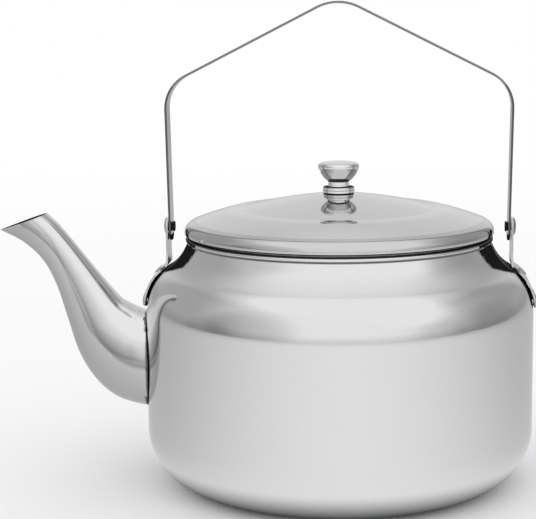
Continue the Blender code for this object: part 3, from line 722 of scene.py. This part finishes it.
def steel(name, shade, roughness, grain="none", grain_depth=0.02, smudge=0.03, wave=0.0, scuff=0.03):
    """A procedural stainless steel: grain, scuffs, smudges, dirt and painted shade, and a slow unevenness
    of the sheet.
    """
    material = bpy.data.materials.new(name)
    material.use_nodes = True
    tree = material.node_tree
    nodes, links = tree.nodes, tree.links
    shader = nodes["Principled BSDF"]
    shader.inputs["Specular IOR Level"].default_value = 0.0

    def add(kind, **values):
        node = nodes.new(kind)
        for key, value in values.items():
            if hasattr(node, key):
                setattr(node, key, value)
            else:
                node.inputs[key].default_value = value
        return node

    place = add("ShaderNodeTexCoord").outputs["Object"]

    def noise(scale, detail, stretch=(1.0, 1.0, 1.0)):
        mapping = add("ShaderNodeMapping")
        mapping.inputs["Scale"].default_value = stretch
        links.new(place, mapping.inputs["Vector"])
        texture = add("ShaderNodeTexNoise", Scale=scale, Detail=detail, Roughness=NOISE_ROUGHNESS)
        links.new(mapping.outputs["Vector"], texture.inputs["Vector"])
        return texture.outputs["Fac"]

    # Dirt and painted shade darken the colour, and where they are thick the metal under them no longer
    # shows
    tone = add("ShaderNodeMix", data_type="RGBA")
    tone.inputs["A"].default_value = grey(shade * (1.0 - TONE_SPREAD))
    tone.inputs["B"].default_value = grey(shade * (1.0 + TONE_SPREAD))
    links.new(noise(SPECK_SCALE, 3.0), tone.inputs["Factor"])
    amount = add("ShaderNodeAttribute", attribute_name="painted_shade_and_grime").outputs["Fac"]
    shade_and_grime_tone = add("ShaderNodeMix", data_type="RGBA")
    shade_and_grime_tone.inputs["B"].default_value = grey(shade * SHADE_AND_GRIME_SHARE)
    links.new(tone.outputs["Result"], shade_and_grime_tone.inputs["A"])
    links.new(amount, shade_and_grime_tone.inputs["Factor"])
    links.new(shade_and_grime_tone.outputs["Result"], shader.inputs["Base Color"])
    links.new(ramp(tree, amount, SHADE_AND_GRIME_METAL_RANGE, (1.0, 0.0)), shader.inputs["Metallic"])

    # Smudges, scuffs and satin places in the roughness
    smudged = (max(roughness - smudge, LEAST_ROUGHNESS), roughness + smudge)
    scuffs = noise(SCUFF_SCALE, 3.0, SCUFF_STRETCH)
    worn = add("ShaderNodeMath")
    links.new(ramp(tree, noise(SMUDGE_SCALE, 4.0), end=smudged), worn.inputs[0])
    links.new(ramp(tree, scuffs, SCUFF_RANGE, (0.0, scuff)), worn.inputs[1])
    satin = add("ShaderNodeMath", operation="MULTIPLY_ADD")
    links.new(add("ShaderNodeAttribute", attribute_name="satin").outputs["Fac"], satin.inputs[0])
    satin.inputs[1].default_value = SATIN_ROUGHNESS
    links.new(worn.outputs[0], satin.inputs[2])
    links.new(satin.outputs[0], shader.inputs["Roughness"])

    # Grain, over slow waves in the sheet where there are any
    bump = add("ShaderNodeBump", Strength=grain_depth, Distance=GRAIN_HEIGHT)
    links.new(noise(GRAIN_SCALE, 2.0, GRAIN_STRETCHES[grain]), bump.inputs["Height"])
    if wave:
        swell = add("ShaderNodeBump", Strength=wave, Distance=WAVE_HEIGHT)
        links.new(noise(WAVE_SCALE, 1.0), swell.inputs["Height"])
        links.new(swell.outputs["Normal"], bump.inputs["Normal"])
    links.new(bump.outputs["Normal"], shader.inputs["Normal"])
    return material


def dress(node, material):
    """Give a piece one material."""
    node.data.materials.clear()
    node.data.materials.append(material)


def painted_shade_and_grime(node, amount):
    """Paint shade and dirt on a mesh: amount takes a place and the normal there and gives 0 to 1."""
    if amount in SOFT_SHADE_AND_GRIME:
        layer = node.data.attributes.new("painted_shade_and_grime", "FLOAT", "POINT")
        values = [amount(vert.co, vert.normal) for vert in node.data.vertices]
    else:
        layer = node.data.attributes.new("painted_shade_and_grime", "FLOAT", "FACE")
        values = [amount(face.center, face.normal) for face in node.data.polygons]
    layer.data.foreach_set("value", values)


def satin_crease(node):
    """Leave the crease under the neck duller, where a polishing wheel doesn't reach."""
    layer = node.data.attributes.new("satin", "FLOAT", "POINT")
    values = []
    for vert in node.data.vertices:
        away = abs(vert.co.z - CREASE_HEIGHT - SATIN_ABOVE_CREASE) / SATIN_HALF_HEIGHT
        outer = math.hypot(vert.co.x, vert.co.y) > NECK_TOP_RADIUS
        values.append(max(1.0 - away * away, 0.0) if outer else 0.0)
    layer.data.foreach_set("value", values)


# Painted shade, painted reflections and dirt: how much of them lies where, from 0 for bare steel to 1 for
# black
# Painted shade in the groove under the lid and in the corner under the rim's bead
RIM_GROOVE_ABOVE = 0.0006
RIM_GROOVE_SHADE = 0.85
BEAD_CORNER_SHADE = 0.55
# A painted dark reflection of the ears on the neck beside them
NECK_SHADE_START = -0.3
NECK_SHADE_LOW = 22.5
NECK_SHADE_HIGH = 28.0
NECK_SHADE_FOOT = 0.22
NECK_SHADE_TAPER = 30.0
NECK_SHADE_BLUR = 1.6
NECK_SHADE_CORE = 8.0
NECK_EAR_REFLECTION = 1.0
NECK_CORE_EAR_REFLECTION = 0.85
SATIN_ABOVE_CREASE = 0.002
SATIN_HALF_HEIGHT = 0.006
SPOUT_JOINT_WIDTH = 0.0007
SPOUT_JOINT_GRIME = 0.95
# Painted shade inside the spout
SPOUT_INSIDE_SHADE = 0.97
# A painted dark reflection in a band along the spout's flanks
SPOUT_BAND_REFLECTION = 0.55
SPOUT_BAND_FOOT = -0.10
SPOUT_BAND_CORE = 0.0
SPOUT_BAND_END = 0.55
# Painted shade on the spout's underside
SPOUT_UNDER_SHADE = 0.22
# Painted shade under the lid's hem and inside it, and a painted darker reflection on its rolled edge
LID_UNDER_NORMAL = -0.35
LID_UNDER_SHADE = 0.96
LID_EDGE_RADIUS = 0.0695
LID_EDGE_REFLECTION = 0.2
# Painted shade at the bail's feet, on its narrow edges and over its top
BAIL_FOOT_SHADE = 0.0036
BAIL_FOOT_PAINTED_SHADE = 0.97
BAIL_EDGE_NORMAL = 0.6
BAIL_LEG_EDGE_SHADE = 0.80
BAIL_TOP_EDGE_SHADE = 0.60
BAIL_TOP_SHADE = 0.3
# Painted shade on the ears' cut edges and under their plates; a little dirt on the rest
EAR_EDGE_NORMAL = 0.5
EAR_EDGE_SHADE = 0.3
EAR_UNDER_SHADE = 0.9
EAR_GRIME = 0.1
RIVET_GRIME = 0.3
# Painted shade on the pivots' tails
PIVOT_TAIL_SHADE = 0.97
SPOUT_PIVOT_GRIME = 0.3
# Dirt and painted shade on the back pivot's head
BACK_PIVOT_GRIME_AND_SHADE = 0.64
WAIST_FOOT = KNOB_FOOT + KNOB_BASE_HEIGHT
# Painted shade at the knob's foot and corners, and a dark line round its base: height, half width and
# amount
KNOB_SHADE_LINES = [
    (KNOB_FOOT, 0.0003, 0.97),
    (KNOB_FOOT + KNOB_BASE_HEIGHT / 2, 0.0002, 0.8),
    (WAIST_FOOT, 0.0003, 0.9),
    (WAIST_FOOT + KNOB_WAIST_HEIGHT, 0.0003, 0.9),
]


def body_shade_and_reflection(centre, normal):
    """Painted shade in the groove under the lid and in the corner under the rim's bead, and a painted dark
    reflection of the ears on the neck beside them.
    """
    radius = math.hypot(centre.x, centre.y)
    # Painted shade in the groove under the lid, then in the corner under the rim's bead
    if centre.z > RIM_HEIGHT + RIM_GROOVE_ABOVE:
        return RIM_GROOVE_SHADE
    if radius > NECK_TOP_RADIUS and RIM_HEIGHT - 1.5 * RIM_BEAD < centre.z < RIM_HEIGHT - RIM_BEAD / 2:
        return BEAD_CORNER_SHADE
    # Painted dark reflection of the ears on the neck beside them
    beside = math.degrees(math.atan2(abs(centre.y), abs(centre.x)))
    up = min(max((centre.z - CREASE_HEIGHT) / NECK_RISE, NECK_SHADE_START), 1.0)
    if up > NECK_SHADE_START and radius > NECK_TOP_RADIUS:
        end = NECK_SHADE_LOW + (NECK_SHADE_HIGH - NECK_SHADE_LOW) * up
        if up < NECK_SHADE_FOOT:
            end -= (NECK_SHADE_FOOT - up) * NECK_SHADE_TAPER
        edge = min(max((end - beside) / NECK_SHADE_BLUR, 0.0), 1.0)
        return edge * (NECK_EAR_REFLECTION if beside > NECK_SHADE_CORE else NECK_CORE_EAR_REFLECTION)
    return 0.0


SPOUT_AXES = []
for loop in spout_loops(0.0):
    middle = sum(loop, Vector((0.0, 0.0, 0.0))) / len(loop)
    SPOUT_AXES.append((middle, (loop[0] - middle).normalized()))


def spout_shade_reflection_and_joint(centre, normal):
    """Painted shade inside the tube and on its underside, a dark joint at its root, and a painted dark
    reflection in a band along its flanks.
    """
    middle, up = min(SPOUT_AXES, key=lambda axis: (axis[0] - centre).length)
    out = centre - middle
    # Painted shade inside the tube
    if out.dot(normal) < 0.0:
        return SPOUT_INSIDE_SHADE
    if math.hypot(centre.x, centre.y) < BODY_RADIUS + SPOUT_JOINT_WIDTH:
        return SPOUT_JOINT_GRIME
    # Painted dark reflection in a band along the flanks, over painted shade on the underside
    lift = out.dot(up) / out.length
    rise = min(max((lift - SPOUT_BAND_FOOT) / (SPOUT_BAND_CORE - SPOUT_BAND_FOOT), 0.0), 1.0)
    fall = min(max((SPOUT_BAND_END - lift) / (SPOUT_BAND_END - SPOUT_BAND_CORE), 0.0), 1.0)
    return max(SPOUT_BAND_REFLECTION * rise * fall, SPOUT_UNDER_SHADE * (1.0 - rise))


def lid_shade_and_reflection(centre, normal):
    """A painted darker reflection on the rolled edge, and painted shade under the hem and in the lid."""
    if normal.z < LID_UNDER_NORMAL:
        return LID_UNDER_SHADE
    return LID_EDGE_REFLECTION if math.hypot(centre.x, centre.y) > LID_EDGE_RADIUS else 0.0


def bail_painted_shade(centre, normal):
    """Painted shade on the strip's narrow edges, over its top and at its two feet."""
    if centre.z < PIVOT_HEIGHT - BAIL_FOOT_SHADE:
        return BAIL_FOOT_PAINTED_SHADE
    leg = centre.z < PIVOT_HEIGHT + BAIL_CORNER_ABOVE_PIVOT
    if abs(normal.y) > BAIL_EDGE_NORMAL:
        return BAIL_LEG_EDGE_SHADE if leg else BAIL_TOP_EDGE_SHADE
    return 0.0 if leg else BAIL_TOP_SHADE


def ear_shade_and_grime(centre, normal):
    """Painted shade on the cut edges and under the plate, a little dirt elsewhere."""
    if abs(normal.y) > EAR_EDGE_NORMAL:
        return EAR_EDGE_SHADE
    under = normal.x * centre.x < 0.0 and abs(centre.x) > EAR_TAB_REACH
    return EAR_UNDER_SHADE if under else EAR_GRIME


def fastener_shade_and_grime(centre, normal):
    """Painted shade on the pivots' formed tails, a little dirt on the rivets and the pivots' heads, and
    painted shade over it on the back pivot's head.
    """
    if centre.z < CREASE_HEIGHT:
        return RIVET_GRIME
    if abs(centre.x) < EAR_TAB_REACH:
        return PIVOT_TAIL_SHADE
    return SPOUT_PIVOT_GRIME if centre.x < 0.0 else BACK_PIVOT_GRIME_AND_SHADE


def knob_painted_shade(centre, normal):
    """Painted shade in lines at the knob's foot and in the corners between its steps, and a dark line
    round the middle of its base.
    """
    for corner, reach, amount in KNOB_SHADE_LINES:
        if abs(centre.z - corner) < reach and math.hypot(centre.x, centre.y) < KNOB_BASE_RADIUS:
            return amount
    return 0.0


# Painted shade and dirt that fade from point to point, where the others keep to whole faces
SOFT_SHADE_AND_GRIME = {spout_shade_reflection_and_joint}

BODY_STEEL = steel("pot_steel", 0.60, 0.065, grain="turned", smudge=0.02, wave=0.03, scuff=0.025)
SPOUT_STEEL = steel("spout_polish", 0.62, 0.06, grain_depth=0.015, smudge=0.02, wave=0.08, scuff=0.02)
LID_STEEL = steel("lid_polish", 0.615, 0.05, grain_depth=0.01, smudge=0.02, wave=0.02, scuff=0.02)
KNOB_STEEL = steel("knob_polish", 0.66, 0.04, grain="turned", grain_depth=0.01, smudge=0.015, scuff=0.02)
EAR_STEEL = steel("ear_tumbled", 0.60, 0.14, grain_depth=0.03, smudge=0.05, wave=0.08)
RIVET_STEEL = steel("rivet_tumbled", 0.56, 0.16, grain_depth=0.04, smudge=0.05)
BAIL_STEEL = steel("bail_rolled", 0.52, 0.13, grain="along", grain_depth=0.04, smudge=0.04, wave=0.03)
# Steel of the hidden pieces, painted dark for the shade in the gap under the lid
SHADED_HIDDEN_STEEL = steel("hidden_steel_painted_dark", 0.16, 0.25, grain="turned", grain_depth=0.03, smudge=0.05)

# Pieces in place of the solids
body = make_body()
pieces = [(body, "kettle", "kettle_body", "body_steel", BODY_STEEL, body_shade_and_reflection)]
for ear_name, side in (("spout_ear", -1), ("back_ear", 1)):
    ear, fasteners = make_ear(ear_name, side, body)
    pieces.append((ear, "kettle", ear_name, "ear_steel", EAR_STEEL, ear_shade_and_grime))
    pieces += [(node, "kettle", solid, "rivet_steel", RIVET_STEEL, fastener_shade_and_grime)
               for node, solid in fasteners]
pieces += [
    (make_spout(), "kettle", "spout", "spout_steel", SPOUT_STEEL, spout_shade_reflection_and_joint),
    (make_bail(), "bail", "bail", "bail_steel", BAIL_STEEL, bail_painted_shade),
    (make_lid(), "lid", "lid_cover", "lid_steel", LID_STEEL, lid_shade_and_reflection),
    (make_knob(), "lid", "knob", "knob_steel", KNOB_STEEL, knob_painted_shade),
]
satin_crease(body)
for node, body_name, solid, slot, material, amount in pieces:
    dress(node, material)
    painted_shade_and_grime(node, amount)
    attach(node, body_name)
    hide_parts(solid)
# The hidden pieces take the steel painted dark for shade
for solid in ("lid_skirt", "knob_washer", "knob_screw"):
    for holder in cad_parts[solid].material_slots:
        holder.material = SHADED_HIDDEN_STEEL

# Studio


def vector_math(tree, operation, value, other=None):
    """The socket of a vector operation on a value, and on a fixed second vector where it needs one."""
    node = tree.nodes.new("ShaderNodeVectorMath")
    node.operation = operation
    tree.links.new(value, node.inputs[0])
    if other:
        node.inputs[1].default_value = other
    return node.outputs["Vector" if operation == "NORMALIZE" else "Value"]


def scalar_math(tree, operation, value, other):
    """The socket of an operation on a value, and on a second socket or a number."""
    node = tree.nodes.new("ShaderNodeMath")
    node.operation = operation
    tree.links.new(value, node.inputs[0])
    if isinstance(other, float):
        node.inputs[1].default_value = other
    else:
        tree.links.new(other, node.inputs[1])
    return node.outputs[0]


def direction(azimuth, elevation):
    """The unit vector to an azimuth and elevation in degrees; azimuth 0 is behind the kettle, 90 right."""
    a, e = math.radians(azimuth), math.radians(elevation)
    return (math.cos(e) * math.sin(a), math.cos(e) * math.cos(a), math.sin(e))


def patches(tree, unit, base, places, top):
    """A socket with a base value plus soft round patches, but never more than the top value."""
    level = base
    for azimuth, elevation, full, end, amount in places:
        near = vector_math(tree, "DOT_PRODUCT", unit, direction(azimuth, elevation))
        reach = (math.cos(math.radians(end)), math.cos(math.radians(full)))
        level = scalar_math(tree, "ADD", ramp(tree, near, reach, (0.0, amount), smooth=True), level)
    return scalar_math(tree, "MINIMUM", level, top)


def stage_material(name):
    """A material with an empty tree and its output node."""
    material = bpy.data.materials.new(name)
    material.use_nodes = True
    material.node_tree.nodes.clear()
    return material, material.node_tree, material.node_tree.nodes.new("ShaderNodeOutputMaterial")


def glow(tree, out, level):
    """Let a stage piece glow by a socket's level."""
    emission = tree.nodes.new("ShaderNodeEmission")
    tree.links.new(level, emission.inputs["Strength"])
    tree.links.new(emission.outputs[0], out.inputs["Surface"])


def only_mirrored(card):
    """Let a studio card show in the metal alone."""
    card.visible_camera = False
    card.visible_diffuse = False
    card.visible_transmission = False
    card.visible_volume_scatter = False
    card.visible_shadow = False


def disc(name, radius, height):
    """A flat round stage piece."""
    bm = bmesh.new()
    bmesh.ops.create_circle(bm, cap_ends=True, segments=128, radius=radius)
    piece = add_object(name, bm)
    piece.location.z = height
    return piece


# A white floor that turns into plain white far from the kettle
FLOOR_RADIUS = 12.0
FLOOR_HEIGHT = -0.0004
FLOOR_SHADE = 0.96
FADE = (0.45, 1.6)
floor = disc("floor", FLOOR_RADIUS, FLOOR_HEIGHT)
material, tree, out = stage_material("floor_white")
diffuse = tree.nodes.new("ShaderNodeBsdfDiffuse")
diffuse.inputs["Color"].default_value = grey(FLOOR_SHADE)
plain = tree.nodes.new("ShaderNodeEmission")
away = vector_math(tree, "LENGTH", tree.nodes.new("ShaderNodeTexCoord").outputs["Object"])
mix = tree.nodes.new("ShaderNodeMixShader")
tree.links.new(ramp(tree, away, FADE, smooth=True), mix.inputs[0])
tree.links.new(diffuse.outputs[0], mix.inputs[1])
tree.links.new(plain.outputs[0], mix.inputs[2])
tree.links.new(mix.outputs[0], out.inputs["Surface"])
dress(floor, material)

# What the metal shows of the table, painted on a glowing card: lighter towards the camera, a little darker
# far away, nearly black in a painted shadow of the pot, and with a painted light spot behind the spout. A
# spot has its middle, the distances where it is full and where it ends, and its factor
CARD_RADIUS = 6.0
CARD_HEIGHT = -0.0002
CARD_BACK = 0.60
CARD_FRONT = 1.20
CARD_FRONT_AZIMUTH = 172.0
CARD_POWER = 1.5
CARD_FAR = (0.5, 2.5)
HORIZON_SHARE = 0.80
SHADOW_EDGE = (0.072, 0.103)
SHADOW_SHARE = 0.05
CARD_SPOTS = [
    ((-0.17, 0.45, 0.0), 0.10, 0.22, 2.20),
]
card = disc("floor_card", CARD_RADIUS, CARD_HEIGHT)
material, tree, out = stage_material("floor_card")
place = tree.nodes.new("ShaderNodeTexCoord").outputs["Object"]
unit = vector_math(tree, "NORMALIZE", place)
facing = vector_math(tree, "DOT_PRODUCT", unit, direction(CARD_FRONT_AZIMUTH, 0.0))
front = scalar_math(tree, "POWER", ramp(tree, facing, (-1.0, 1.0)), CARD_POWER)
shade = ramp(tree, front, end=(CARD_BACK, CARD_FRONT))
away = vector_math(tree, "LENGTH", place)
shadow = ramp(tree, away, SHADOW_EDGE, (SHADOW_SHARE, 1.0), smooth=True)
far = ramp(tree, away, CARD_FAR, (1.0, HORIZON_SHARE), smooth=True)
level = scalar_math(tree, "MULTIPLY", scalar_math(tree, "MULTIPLY", shade, shadow), far)
for middle, full, end, factor in CARD_SPOTS:
    beside = vector_math(tree, "DISTANCE", place, middle)
    spot = ramp(tree, beside, (full, end), (factor, 1.0), smooth=True)
    level = scalar_math(tree, "MULTIPLY", level, spot)
glow(tree, out, level)
dress(card, material)
only_mirrored(card)

# A light tent round the table, which shows in the metal alone. Each patch has the azimuth and elevation
# of its middle, the half angles where it is full and where it ends, and its amount
TENT_RADIUS = 4.0
TENT_BASE = 0.56
TENT_TOP = 1.28
TENT_PATCHES = [
    (178, 25, 10, 92, 0.70),
    (0, 90, 10, 50, 0.65),
    (128, 44, 8, 30, 0.30),
    (0, 22, 20, 36, 0.27),
    (-128, 10, 10, 36, -0.30),
    (-100, -4, 8, 24, -0.10),
    (118, 4, 5, 22, -0.12),
    (80, 0, 8, 34, -0.14),
    (42, 28, 5, 28, -0.06),
]
HORIZON_END = 11.0
bm = bmesh.new()
bmesh.ops.create_uvsphere(bm, u_segments=96, v_segments=48, radius=TENT_RADIUS)
under = [vert for vert in bm.verts if vert.co.z < -0.001]
bmesh.ops.delete(bm, geom=under, context="VERTS")
tent = add_object("light_tent", bm)
material, tree, out = stage_material("light_tent")
unit = vector_math(tree, "NORMALIZE", tree.nodes.new("ShaderNodeTexCoord").outputs["Object"])
split = tree.nodes.new("ShaderNodeSeparateXYZ")
tree.links.new(unit, split.inputs[0])
rise = (0.0, math.sin(math.radians(HORIZON_END)))
low = ramp(tree, split.outputs["Z"], rise, (HORIZON_SHARE, 1.0), smooth=True)
level = patches(tree, unit, TENT_BASE, TENT_PATCHES, TENT_TOP)
glow(tree, out, scalar_math(tree, "MULTIPLY", level, low))
dress(tent, material)
only_mirrored(tent)

# Even white light from all round
world = bpy.data.worlds.new("studio")
bpy.context.scene.world = world
world.use_nodes = True
room = world.node_tree.nodes["Background"]
room.inputs["Color"].default_value = (1.0, 1.0, 1.0, 1.0)
room.inputs["Strength"].default_value = 1.0

# Camera at the photograph's angle
CAMERA_PLACE = (0.028120, -0.816940, 0.240616)
CAMERA_TURN = (1.412292, 0.009852, 0.075507)
CAMERA_LENS = 112.8806
CAMERA_SENSOR = 36.0
camera = bpy.data.cameras.new("camera")
camera.sensor_width = CAMERA_SENSOR
camera.lens = CAMERA_LENS
eye = bpy.data.objects.new("camera", camera)
eye.location = CAMERA_PLACE
eye.rotation_euler = CAMERA_TURN
bpy.context.collection.objects.link(eye)
bpy.context.scene.camera = eye
bpy.context.scene.view_settings.view_transform = "Standard"
